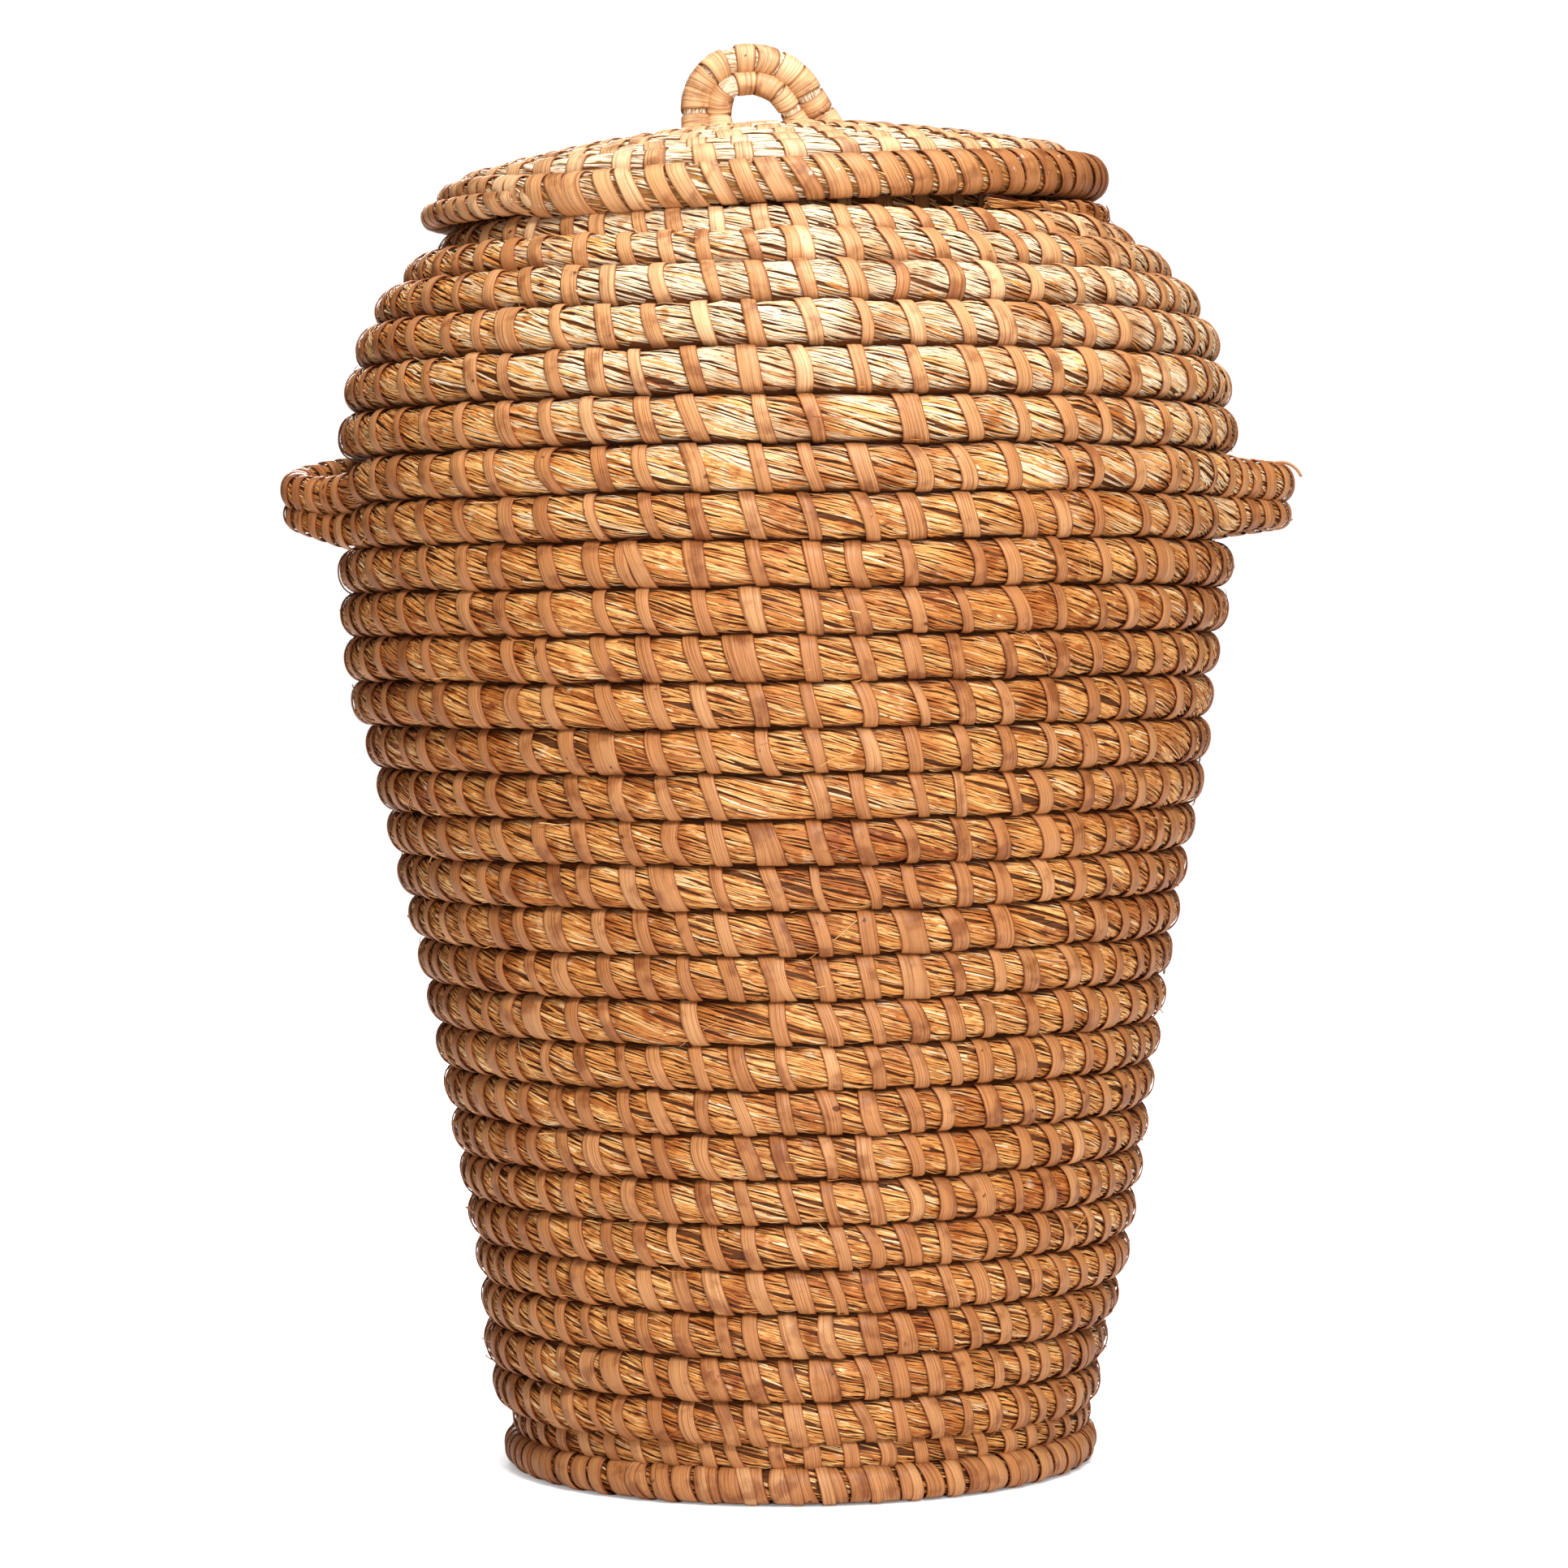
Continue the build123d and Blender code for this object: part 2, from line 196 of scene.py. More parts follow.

# Sewing of the other bundles: the strips' spacing and stray from it, their width and its spread, their
# lean, and the count of straws. The ties of the coil's tail are listed. A lean spreads by a share of
# itself and a little more.
LEAN_SPREAD_SHARE = 0.15
LEAN_SPREAD_LEAST = 0.3 * MM
Sewing = namedtuple("Sewing", "spacing stray width spread lean straws")
GRIP_SEWING = Sewing(10.4 * MM, 1.1 * MM, 9.2 * MM, 1.3 * MM, 3.5 * MM, 360)
SEWING = {
    "foot_ring": Sewing(10.6 * MM, 0.6 * MM, 9.0 * MM, STRIP_WIDTH_SPREAD, 4.0 * MM, 420),
    "start_course": Sewing(15 * MM, 1.2 * MM, STRIP_WIDTH, STRIP_WIDTH_SPREAD, 3.5 * MM, 520),
    "base_coil": Sewing(18 * MM, 1.5 * MM, STRIP_WIDTH, STRIP_WIDTH_SPREAD, 3.5 * MM, 1500),
    "base_knot": Sewing(7 * MM, 0.6 * MM, 5 * MM, 0.6 * MM, 2.0 * MM, 80),
    "lid_rim": Sewing(12.0 * MM, 0.9 * MM, 8.9 * MM, 0.7 * MM, 8.0 * MM, 700),
    "lid_coil": Sewing(19 * MM, 1.6 * MM, 9.0 * MM, STRIP_WIDTH_SPREAD, 3.0 * MM, 3600),
    "lid_knot": Sewing(8 * MM, 0.6 * MM, 6 * MM, 0.6 * MM, 2.0 * MM, 80),
    "lid_collar": Sewing(18 * MM, 1.4 * MM, STRIP_WIDTH, STRIP_WIDTH_SPREAD, 4.0 * MM, 500),
    "lid_grip_inner": GRIP_SEWING,
    "lid_grip_outer": GRIP_SEWING,
    "coil_tail": Sewing(None, None, 6.0 * MM, STRIP_WIDTH_SPREAD, 3.0 * MM, 300),
    "coil_start": Sewing(15 * MM, 1.2 * MM, STRIP_WIDTH, STRIP_WIDTH_SPREAD, 3.5 * MM, 170),
}

# Tone by place, with painted light and shade: the shoulder is painted paler course by course, as light
# from above, and the left of the basket and the right of the lid's rim are painted browner, as shade. A
# painted shade is where one side is brownest, where that ends, and how brown it is.
SHOULDER_PAINTED_LIGHT = 0.62
PAINTED_LIGHT_COURSES = (18, 25)
LEFT_PAINTED_SHADE = (-190 * MM, -40 * MM, 0.08)
RIM_PAINTED_SHADE = (150 * MM, -20 * MM, 0.24)
LEAST_PALE = 0.25

# Floor and light. A lamp has a name, a place, a size across and a level.
FLOOR_HALF = 6.0
SHADOW_REACH = (0.121, 0.15)
WORLD_LEVEL = 0.06
LIGHT_AIM = (0.0, 0.0, 0.35)
LAMPS = (
    ("front", (0.55, -2.2, 2.3), 0.7, 0.88),
    ("low", (0.25, -2.9, 0.55), 1.0, 0.34),
    ("top", (0.1, -0.5, 2.7), 0.8, 0.7),
    ("back", (-0.4, 2.8, 1.1), 0.9, 0.6),
)

# Camera, as the photo was taken
CAMERA_PLACE = (-3.7 * MM, -2300.0 * MM, 383.2 * MM)
CAMERA_PITCH = 1.84
CAMERA_ROLL = 0.6
CAMERA_LENS = 115.5
SENSOR_WIDTH = 36.0

wall_nodes = [f"wall_course_{turn:02d}" for turn in range(1, 21)]
wall_nodes += ["handle_course_lower", "handle_course_upper"]
wall_nodes += [f"shoulder_course_{turn}" for turn in range(1, 7)]
HANDLE_TURNS = [wall_nodes.index("handle_course_lower"), wall_nodes.index("handle_course_upper")]

rng = np.random.default_rng(SEED)


def unit(vectors):
    return vectors / np.linalg.norm(vectors, axis=-1, keepdims=True)


def ease(share):
    """Climb from 0 to 1 in two mirrored halves, much like two tangent arcs."""
    return np.where(share < 0.5, 2 * share**2, 1 - 2 * (1 - share) ** 2)


def smooth(low, high, values):
    """0 at low and 1 at high, with a soft start and end. Low may be above high."""
    share = np.clip((values - low) / (high - low), 0, 1)
    return share * share * (3 - 2 * share)


class Bundle:
    """A straw bundle: centre line, outward and upward directions and radius, by distance along it.

    Turn is the angle round the bundle: 0 faces outward and a quarter turn faces upward. Square is the
    power of its section, where 2 is round, and the valley begins and ends at two sines of the turn."""

    SQUARE = 2.16
    VALLEY = (0.84, 0.98)
    PINCH_REACH = 4.6 * MM

    def __init__(self, line, upward, radius, tall=1.0, beside=1.0):
        steps = np.linalg.norm(np.diff(line, axis=0), axis=1)
        self.distance = np.concatenate([[0.0], np.cumsum(steps)])
        self.length = self.distance[-1]
        self.closed = np.allclose(line[0], line[-1])
        around = np.vstack([line[-2], line, line[1]]) if self.closed else line
        heading = np.gradient(around, axis=0)
        heading = unit(heading[1:-1] if self.closed else heading)
        outward = unit(np.cross(upward, heading))
        radius, beside = (np.broadcast_to(value, len(line)) for value in (radius, beside))
        self.table = np.column_stack([line, outward, np.cross(heading, outward), radius, beside])
        self.mean_radius = radius.mean()
        self.tall = tall
        self.ties = np.array([])
        self.lean = 0.0

    def at(self, distance, turn, lift):
        """Points on the bundle, raised by lift from its surface."""
        if self.closed:
            distance = np.mod(distance, self.length)
        columns = [np.interp(distance, self.distance, column) for column in self.table.T]
        line, outward, upward = (np.stack(columns[i : i + 3], -1) for i in (0, 3, 6))
        cosine, sine = np.cos(turn), np.sin(turn)
        round_off = (np.abs(cosine) ** self.SQUARE + np.abs(sine) ** self.SQUARE) ** (-1 / self.SQUARE)
        reach = (columns[9] * round_off + lift)[..., None]
        return line + reach * (cosine[..., None] * outward + self.tall * sine[..., None] * upward)

    def beside(self, distance):
        """How deep the painted shade on its sides is: 0 where no other bundle lies beside it."""
        return np.interp(distance, self.distance, self.table[:, 10])

    def valley(self, distance, turn):
        """0 on the face of the bundle, up to 1 in the valley beside the next one, where shade is painted.
        """
        return self.beside(distance) * smooth(*self.VALLEY, np.abs(np.sin(turn)))

    def pinch(self, distance, turn):
        """How far the straw is drawn in by the nearest strip, from 0 to 1."""
        if len(self.ties) < 2:
            return np.zeros(np.shape(distance))
        level = distance - 0.5 * self.lean * np.sin(turn)
        after = np.clip(np.searchsorted(self.ties, level), 1, len(self.ties) - 1)
        nearest = np.minimum(np.abs(level - self.ties[after - 1]), np.abs(level - self.ties[after]))
        return np.exp(-((nearest / self.PINCH_REACH) ** 2))


class Gather:
    """Collects closed shapes into one mesh, with the values that the materials read."""

    VALUES = ("tone", "along", "across", "valley")

    def __init__(self):
        self.points = []
        self.faces = []
        self.material = []
        self.values = {name: [] for name in self.VALUES}
        self.count = 0

    def add(self, grids, tone, along, across, valley, material=0, looped=False):
        """Add tubes: grids is shapes x rows x sides x 3, with rows joined into a loop or capped."""
        shapes, rows, sides = grids.shape[:3]
        row = np.arange(rows if looped else rows - 1)[:, None] * sides
        above = (row + sides) % (rows * sides)
        side = np.arange(sides)
        beside = (side + 1) % sides
        quads = np.stack([row + side, row + beside, above + beside, above + side], -1).reshape(-1, 4)
        if not looped:
            rung = np.arange(sides // 2 - 1)
            cap = np.stack([rung, rung + 1, sides - 2 - rung, sides - 1 - rung], -1)
            quads = np.vstack([quads, cap[:, ::-1], cap + (rows - 1) * sides])
        first = self.count + np.arange(shapes) * rows * sides
        self.faces.append((quads[None] + first[:, None, None]).reshape(-1, 4))
        self.material.append(np.full(shapes * len(quads), material))
        self.points.append(grids.reshape(-1, 3))
        for name, value in zip(self.VALUES, (tone, along, across, valley)):
            self.values[name].append(np.broadcast_to(value, grids.shape[:3]).ravel())
        self.count += shapes * rows * sides

    def piece(self, name, body, materials, replaces=()):
        """Make the mesh object and let it ride on its body."""
        points = np.concatenate(self.points).astype(np.float32)
        faces = np.concatenate(self.faces).astype(np.int32)
        mesh = bpy.data.meshes.new(name)
        mesh.vertices.add(len(points))
        mesh.vertices.foreach_set("co", points.ravel())
        mesh.loops.add(faces.size)
        mesh.loops.foreach_set("vertex_index", faces.ravel())
        mesh.polygons.add(len(faces))
        mesh.polygons.foreach_set("loop_start", np.arange(0, faces.size, 4, dtype=np.int32))
        mesh.polygons.foreach_set("material_index", np.concatenate(self.material).astype(np.int32))
        mesh.polygons.foreach_set("use_smooth", np.ones(len(faces), dtype=bool))
        for value, parts in self.values.items():
            stored = mesh.attributes.new(value, "FLOAT", "POINT")
            stored.data.foreach_set("value", np.concatenate(parts).astype(np.float32))
        for material in materials:
            mesh.materials.append(material)
        mesh.update(calc_edges=True)
        made = bpy.data.objects.new(name, mesh)
        bpy.context.scene.collection.objects.link(made)
        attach(made, body)
        if replaces:
            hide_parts(*replaces)


# Straws and strips

STRAW_ROWS = np.array([0.0, 0.05, 0.16, 0.28, 0.4, 0.52, 0.64, 0.76, 0.87, 0.96, 1.0])
STRAW_TAPER = np.array([0.3, 0.8, 1, 1, 1, 1, 1, 1, 1, 0.8, 0.3])
STRAW_SIDES = np.array([-0.5, -0.23, 0.23, 0.5])
STRAW_CROWN = np.array([-1.0, -0.06, -0.06, -1.0])
STRAW_FLATNESS = 0.34
STRAW_THICKEST = 0.5 * MM
STRAW_LIFT = 0.2 * MM
STRAW_END_DIP = 0.4 * MM
STRAW_WAVE = 0.025
STRAW_WAVES = (4, 9)
STRAW_TONE_SPREAD = (3.0, 2.7)
SPRING_FROM = 0.7
BROAD_STRAWS = 0.08
BROAD_GAIN = (1.6, 2.3)
LONGEST_STRAW = 0.9
GOLDEN = (math.sqrt(5) - 1) / 2
CORE_PINCH = 0.6 * MM
RIDGE_SINES = (0.97, 1.0)
RIDGE_SHADES = (0.0, 0.4)


def tone_and_painted_light(x, pale, brown):
    """Change of tone by place: paler by pale, which up the shoulder is painted light, and browner towards
    one side, which is painted shade.
    """
    brownest, plain, depth = brown
    share = LEAST_PALE + (1 - LEAST_PALE) * smooth(brownest, plain, x)
    return pale * share - depth * (1 - share)


def lay_core(gather, bundle, start, end, ridge=0.0, sink=1.0 * MM, sides=24, spacing=7 * MM):
    """Inside of a bundle, which shows in the gaps between the straws.

    Its ridges reach into the bundles beside it, so that nothing shows through between them."""
    rows = max(12, int((end - start) / spacing))
    turn = np.arange(sides) * 2 * math.pi / sides
    distance, turn = np.broadcast_arrays(np.linspace(start, end, rows)[:, None], turn)
    lift = -sink - CORE_PINCH * bundle.pinch(distance, turn)
    touching = smooth(*RIDGE_SHADES, bundle.beside(distance)) * smooth(*RIDGE_SINES, np.abs(np.sin(turn)))
    grid = bundle.at(distance, turn, lift + ridge * touching)
    gather.add(grid[None], 0.5, distance, turn / (2 * math.pi), bundle.valley(distance, turn))


def lay_straws(
    gather, bundle, start, end, count, facing=(-math.pi, math.pi), length=(45, 125), width=(0.65, 1.45),
    slope=(11, 23), lift=(-0.5, 0.1), loose=0.05, stray=(0.4, 2.0), pinch=1.3, pale=0.0,
    brown=LEFT_PAINTED_SHADE,
):
    """Single straws that wind slowly round a bundle. Lengths, widths and lifts in millimetres."""
    order = np.arange(count)
    size = rng.uniform(*length, count) * MM
    begin = start + (end - start) * ((order * GOLDEN + rng.uniform(0, 0.1, count)) % 1)
    if not bundle.closed:
        size = np.minimum(size, LONGEST_STRAW * bundle.length)
        begin = np.clip(begin - size / 2, 0, bundle.length - size)
    middle = facing[0] + (facing[1] - facing[0]) * (order + rng.random(count)) / count
    wide = rng.uniform(width[0] ** 0.5, width[1] ** 0.5, count) ** 2 * MM
    wide = np.where(rng.random(count) < BROAD_STRAWS, wide * rng.uniform(*BROAD_GAIN, count), wide)
    climb = np.tan(rng.normal(sum(slope) / 2, (slope[1] - slope[0]) / 4, count) * DEGREE)
    share = STRAW_ROWS[None, :]
    distance = begin[:, None] + size[:, None] * share
    wave = rng.uniform(-STRAW_WAVE, STRAW_WAVE, (count, 1))
    wave = wave * np.sin(share * rng.uniform(*STRAW_WAVES, (count, 1)))
    turn = middle[:, None] + climb[:, None] * size[:, None] * (share - 0.5) / bundle.mean_radius + wave
    height = rng.uniform(*lift, (count, 1)) * MM - STRAW_END_DIP * (2 * share - 1) ** 6
    springs = (rng.random((count, 1)) < loose) * rng.uniform(*stray, (count, 1)) * MM
    height = height + springs * smooth(SPRING_FROM, 1.0, share)
    height = height - pinch * MM * bundle.pinch(distance, turn) + STRAW_LIFT
    thick = np.minimum(STRAW_FLATNESS * wide, STRAW_THICKEST)
    across = STRAW_SIDES * STRAW_TAPER[:, None]
    turn_grid = turn[..., None] + wide[:, None, None] * across[None] / bundle.mean_radius
    lift_grid = height[..., None] + thick[:, None, None] * STRAW_CROWN
    distance_grid = np.broadcast_to(distance[..., None], turn_grid.shape)
    grid = bundle.at(distance_grid, turn_grid, lift_grid)
    middle_x = grid[:, len(STRAW_ROWS) // 2, 1, 0]
    tone = rng.beta(*STRAW_TONE_SPREAD, count) + tone_and_painted_light(middle_x, pale, brown)
    tone = np.clip(tone, 0.0, 1.0)[:, None, None]
    valley = bundle.valley(distance_grid, turn_grid)
    gather.add(grid, tone, distance_grid, STRAW_SIDES + 0.5, valley, material=1)


STRIP_SIDES = np.array([0.5, 0.488, 0.4, 0.0, -0.4, -0.488, -0.5])
STRIP_CROWN = np.array([0.3, 0.75, 0.98, 1.15, 0.98, 0.75, 0.3])
STRIP_ROWS = 26
STRIP_CROWDING = 0.35
STRIP_BOW = 0.5 * MM
STRIP_NARROWING = 0.05
STRIP_LIFT = 0.1 * MM
STRIP_LIFT_SPREAD = 0.12 * MM
STRIP_SINK = 0.25 * MM
STRIP_SHADE = 0.7
STRIP_TONE_SPREAD = (12.0, 12.0)
STRIP_WIDTH_LIMITS = (0.65, 1.4)


def strip_turns():
    """Angles round a bundle, closer together on its outer face."""
    share = np.linspace(-math.pi, math.pi, STRIP_ROWS, endpoint=False)
    return share - STRIP_CROWDING * np.sin(share)


def bind(gather, bundle, ties, width, lean, lift=STRIP_LIFT, pale=0.0, brown=LEFT_PAINTED_SHADE):
    """Strips wrapped once round a bundle, each with its own width and lean."""
    count = len(ties)
    turn = strip_turns()[None, :, None]
    ties = np.asarray(ties)[:, None, None]
    width = np.broadcast_to(width, count)[:, None, None]
    lean = np.broadcast_to(lean, count)[:, None, None]
    bow = rng.normal(0, STRIP_BOW, (count, 1, 1))
    narrow = rng.normal(0, STRIP_NARROWING, (count, 1, 1))
    narrow = 1 + narrow * np.sin(turn + rng.uniform(0, 6, (count, 1, 1)))
    distance = ties + 0.5 * lean * np.sin(turn) + bow * np.cos(2 * turn)
    distance = distance + STRIP_SIDES * width * narrow
    height = lift + rng.uniform(-STRIP_LIFT_SPREAD, STRIP_LIFT_SPREAD, (count, 1, 1))
    valley = bundle.valley(distance, turn)
    height = height - STRIP_SINK * valley + STRIP_CROWN * STRIP_THICKNESS
    turn, distance, height = np.broadcast_arrays(turn, distance, height)
    grid = bundle.at(distance, turn, height)
    middle_x = grid[:, STRIP_ROWS // 2, len(STRIP_SIDES) // 2, 0]
    tone = rng.beta(*STRIP_TONE_SPREAD, count) + tone_and_painted_light(middle_x, pale, brown)
    tone = np.clip(tone, 0.0, 1.0)[:, None, None]
    around = turn * bundle.mean_radius
    gather.add(grid, tone, around, STRIP_SIDES + 0.5, STRIP_SHADE * valley, looped=True)


def strip_widths(count, width=STRIP_WIDTH, spread=STRIP_WIDTH_SPREAD):
    narrowest, widest = STRIP_WIDTH_LIMITS
    return np.clip(rng.normal(width, spread, count), narrowest * width, widest * width)


# Materials

GLOSS = 0.28
BUMP_DEPTH = 0.3 * MM
TONE_SCATTER = 173.0


def new_material(name):
    material = bpy.data.materials.new(name)
    material.use_nodes = True
    return material, material.node_tree, material.node_tree.nodes["Principled BSDF"]


def add_node(tree, kind, inputs=None, **settings):
    """Add a node. An input is a number, a colour or another node's output."""
    node = tree.nodes.new(kind)
    for name, value in settings.items():
        setattr(node, name, value)
    for socket, value in (inputs or {}).items():
        if isinstance(value, bpy.types.NodeSocket):
            tree.links.new(value, node.inputs[socket])
        else:
            node.inputs[socket].default_value = value
    return node


def stored_value(tree, name):
    return add_node(tree, "ShaderNodeAttribute", attribute_name=name).outputs["Fac"]


def math_node(tree, operation, first, second=0.0):
    node = add_node(tree, "ShaderNodeMath", {0: first, 1: second}, operation=operation)
    return node.outputs[0]


def ramp(tree, value, stops):
    """Colour ramp with (position, colour) stops."""
    node = add_node(tree, "ShaderNodeValToRGB", {"Fac": value})
    elements = node.color_ramp.elements
    while len(elements) < len(stops):
        elements.new(0.5)
    for element, (position, colour) in zip(elements, stops):
        element.position = position
        element.color = (*colour, 1.0)
    return node.outputs["Color"]


def grey_ramp(tree, value, stops):
    return ramp(tree, value, [(position, (level,) * 3) for position, level in stops])


def mix(tree, kind, factor, first, second):
    node = add_node(tree, "ShaderNodeMix", data_type="RGBA", blend_type=kind)
    for socket, value in (("Factor", factor), ("A", first), ("B", second)):
        place = [s for s in node.inputs if s.name == socket and s.enabled][0]
        if isinstance(value, bpy.types.NodeSocket):
            tree.links.new(value, place)
        else:
            place.default_value = value if socket == "Factor" else (*value, 1.0)
    return [s for s in node.outputs if s.enabled][0]


def multiply(tree, first, second):
    return mix(tree, "MULTIPLY", 1.0, first, second)


def fibre_noise(tree, along_scale, across_scale, detail=3.0):
    """Noise drawn out along a straw or strip, different on each one."""
    vector = add_node(
        tree,
        "ShaderNodeCombineXYZ",
        {
            "X": math_node(tree, "MULTIPLY", stored_value(tree, "along"), along_scale),
            "Y": math_node(tree, "MULTIPLY", stored_value(tree, "across"), across_scale),
            "Z": math_node(tree, "MULTIPLY", stored_value(tree, "tone"), TONE_SCATTER),
        },
    )
    noise = add_node(
        tree,
        "ShaderNodeTexNoise",
        {"Vector": vector.outputs[0], "Scale": 1.0, "Detail": detail, "Roughness": 0.6},
    )
    return noise.outputs["Fac"]


def patch_noise(tree, scale, detail=2.0):
    """Noise over the whole object, in its own coordinates."""
    place = add_node(tree, "ShaderNodeTexCoord").outputs["Object"]
    noise = add_node(tree, "ShaderNodeTexNoise", {"Vector": place, "Scale": scale, "Detail": detail})
    return noise.outputs["Fac"]


def paint_valley_shade(tree, colour, shade):
    """Painted shade: darken a colour in the valleys between the bundles."""
    return mix(tree, "MIX", stored_value(tree, "valley"), colour, multiply(tree, colour, shade))


def finish_surface(tree, shader, colour, height, rough, strength):
    """Colour, roughness and bump on a shader."""
    tree.links.new(colour, shader.inputs["Base Color"])
    tree.links.new(grey_ramp(tree, height, rough), shader.inputs["Roughness"])
    inputs = {"Height": height, "Strength": strength, "Distance": BUMP_DEPTH}
    bump = add_node(tree, "ShaderNodeBump", inputs)
    tree.links.new(bump.outputs["Normal"], shader.inputs["Normal"])
    shader.inputs["Specular IOR Level"].default_value = GLOSS


# Colours by tone, from the darkest straw or strip to the palest
STRAW_TONES = [
    (0.0, (0.31, 0.09, 0.017)),
    (0.25, (0.54, 0.195, 0.042)),
    (0.5, (0.76, 0.348, 0.093)),
    (0.75, (0.9, 0.53, 0.19)),
    (1.0, (0.94, 0.79, 0.56)),
]
FRESH_STRAW_TONES = [
    (0.0, (0.74, 0.40, 0.14)),
    (0.4, (0.92, 0.66, 0.36)),
    (0.7, (0.96, 0.80, 0.56)),
    (1.0, (0.97, 0.88, 0.72)),
]
STRIP_TONES = [
    (0.0, (0.31, 0.10, 0.027)),
    (0.5, (0.465, 0.19, 0.064)),
    (0.8, (0.61, 0.305, 0.126)),
    (1.0, (0.79, 0.5, 0.265)),
]
FRESH_STRIP_TONES = [
    (0.0, (0.46, 0.205, 0.075)),
    (0.5, (0.69, 0.395, 0.19)),
    (0.8, (0.80, 0.52, 0.28)),
    (1.0, (0.90, 0.68, 0.43)),
]
BLEACHED_STRAW = (0.95, 0.78, 0.52)
WORN_WOOD = (0.82, 0.76, 0.68)

# Colours of painted shade, which darken what they multiply: in the valleys, and along the edges of the
# straws
STRAW_VALLEY_SHADE = (0.12, 0.035, 0.012)
STRIP_VALLEY_SHADE = (0.19, 0.07, 0.03)
STRAW_EDGE_SHADE = (0.48, 0.2, 0.07)
FRESH_STRAW_EDGE_SHADE = (0.76, 0.46, 0.22)


def edge_distance(tree):
    """0 along the middle of a straw or strip, 0.5 at its edges."""
    return math_node(tree, "ABSOLUTE", math_node(tree, "SUBTRACT", stored_value(tree, "across"), 0.5))


def straw_material(name, tones, stain, edge):
    """Straw with painted shade along its edges and in the valleys, brown stains and bleached spots. Stain
    is the strength of the stains.
    """
    material, tree, shader = new_material(name)
    fibre = fibre_noise(tree, 40.0, 4.5)
    colour = ramp(tree, stored_value(tree, "tone"), tones)
    streaks = [(0.36, (0.7, 0.5, 0.36)), (0.5, (0.98, 0.98, 0.98)), (0.64, (1.15, 1.15, 1.15))]
    colour = multiply(tree, colour, ramp(tree, fibre, streaks))
    # Painted shade along the edges of each straw
    colour = multiply(tree, colour, ramp(tree, edge_distance(tree), [(0.3, (1, 1, 1)), (0.5, edge)]))
    stained = ramp(tree, patch_noise(tree, 26.0), [(0.32, (0.66, 0.45, 0.3)), (0.52, (1, 1, 1))])
    colour = mix(tree, "MULTIPLY", stain, colour, stained)
    browned = ramp(tree, patch_noise(tree, 95.0), [(0.3, (0.7, 0.5, 0.34)), (0.42, (1, 1, 1))])
    colour = mix(tree, "MULTIPLY", stain, colour, browned)
    bleached = grey_ramp(tree, patch_noise(tree, 120.0, 3.0), [(0.64, 0.0), (0.78, 0.5)])
    colour = mix(tree, "MIX", bleached, colour, BLEACHED_STRAW)
    # Painted shade in the valleys between the courses
    colour = paint_valley_shade(tree, colour, STRAW_VALLEY_SHADE)
    finish_surface(tree, shader, colour, fibre, [(0.3, 0.55), (0.7, 0.34)], 0.4)
    return material


def strip_material(name, tones, scuff):
    """Split wood with its grain, painted shade along its edges and in the valleys, blotches and knots.
    Scuff is the strength of white wear.
    """
    material, tree, shader = new_material(name)
    fibre = fibre_noise(tree, 26.0, 13.0, detail=4.0)
    colour = ramp(tree, stored_value(tree, "tone"), tones)
    grain = [(0.36, (0.62, 0.48, 0.4)), (0.5, (0.96, 0.96, 0.96)), (0.64, (1.22, 1.22, 1.22))]
    colour = multiply(tree, colour, ramp(tree, fibre, grain))
    # Painted shade along the edges of each strip
    edge_shade = [(0.38, (1, 1, 1)), (0.47, (0.7, 0.52, 0.4)), (0.5, (0.32, 0.14, 0.06))]
    colour = multiply(tree, colour, ramp(tree, edge_distance(tree), edge_shade))
    blotches = [(0.34, (0.62, 0.5, 0.43)), (0.47, (1, 1, 1)), (0.64, (1.08, 1.1, 1.12))]
    colour = multiply(tree, colour, ramp(tree, patch_noise(tree, 85.0, 3.0), blotches))
    knot = ramp(tree, patch_noise(tree, 190.0, 1.0), [(0.2, (0.3, 0.2, 0.15)), (0.25, (1, 1, 1))])
    colour = multiply(tree, colour, knot)
    worn = grey_ramp(tree, fibre_noise(tree, 330.0, 2.2, 5.0), [(0.66, 0.0), (0.74, scuff)])
    colour = mix(tree, "MIX", worn, colour, WORN_WOOD)
    # Painted shade in the valleys between the courses
    colour = paint_valley_shade(tree, colour, STRIP_VALLEY_SHADE)
    finish_surface(tree, shader, colour, fibre, [(0.3, 0.54), (0.7, 0.38)], 0.35)
    return material


def core_material(name, dark, pale):
    """Matted straw inside a bundle, darkened as painted shade in the gaps between the straws."""
    material, tree, shader = new_material(name)
    fibre = fibre_noise(tree, 40.0, 60.0)
    colour = ramp(tree, fibre, [(0.3, dark), (0.7, pale)])
    finish_surface(tree, shader, colour, fibre, [(0.3, 0.8), (0.7, 0.6)], 0.6)
    return material


# Dark cores are painted shade in the gaps between the straws
core = core_material("straw_core", (0.03, 0.007, 0.001), (0.19, 0.055, 0.009))
fresh_core = core_material("fresh_straw_core", (0.2, 0.075, 0.018), (0.5, 0.25, 0.07))
straw = straw_material("straw", STRAW_TONES, 1.0, STRAW_EDGE_SHADE)
fresh_straw = straw_material("fresh_straw", FRESH_STRAW_TONES, 0.3, FRESH_STRAW_EDGE_SHADE)
strip = strip_material("split_wood", STRIP_TONES, 0.12)
fresh_strip = strip_material("fresh_split_wood", FRESH_STRIP_TONES, 0.25)
rim_strip = strip_material("scuffed_split_wood", STRIP_TONES, 0.8)
WALL_LOOKS = (core, straw, strip)
LID_LOOKS = (fresh_core, fresh_straw, fresh_strip)
RIM_LOOKS = (fresh_core, straw, rim_strip)


# Lines of the coils

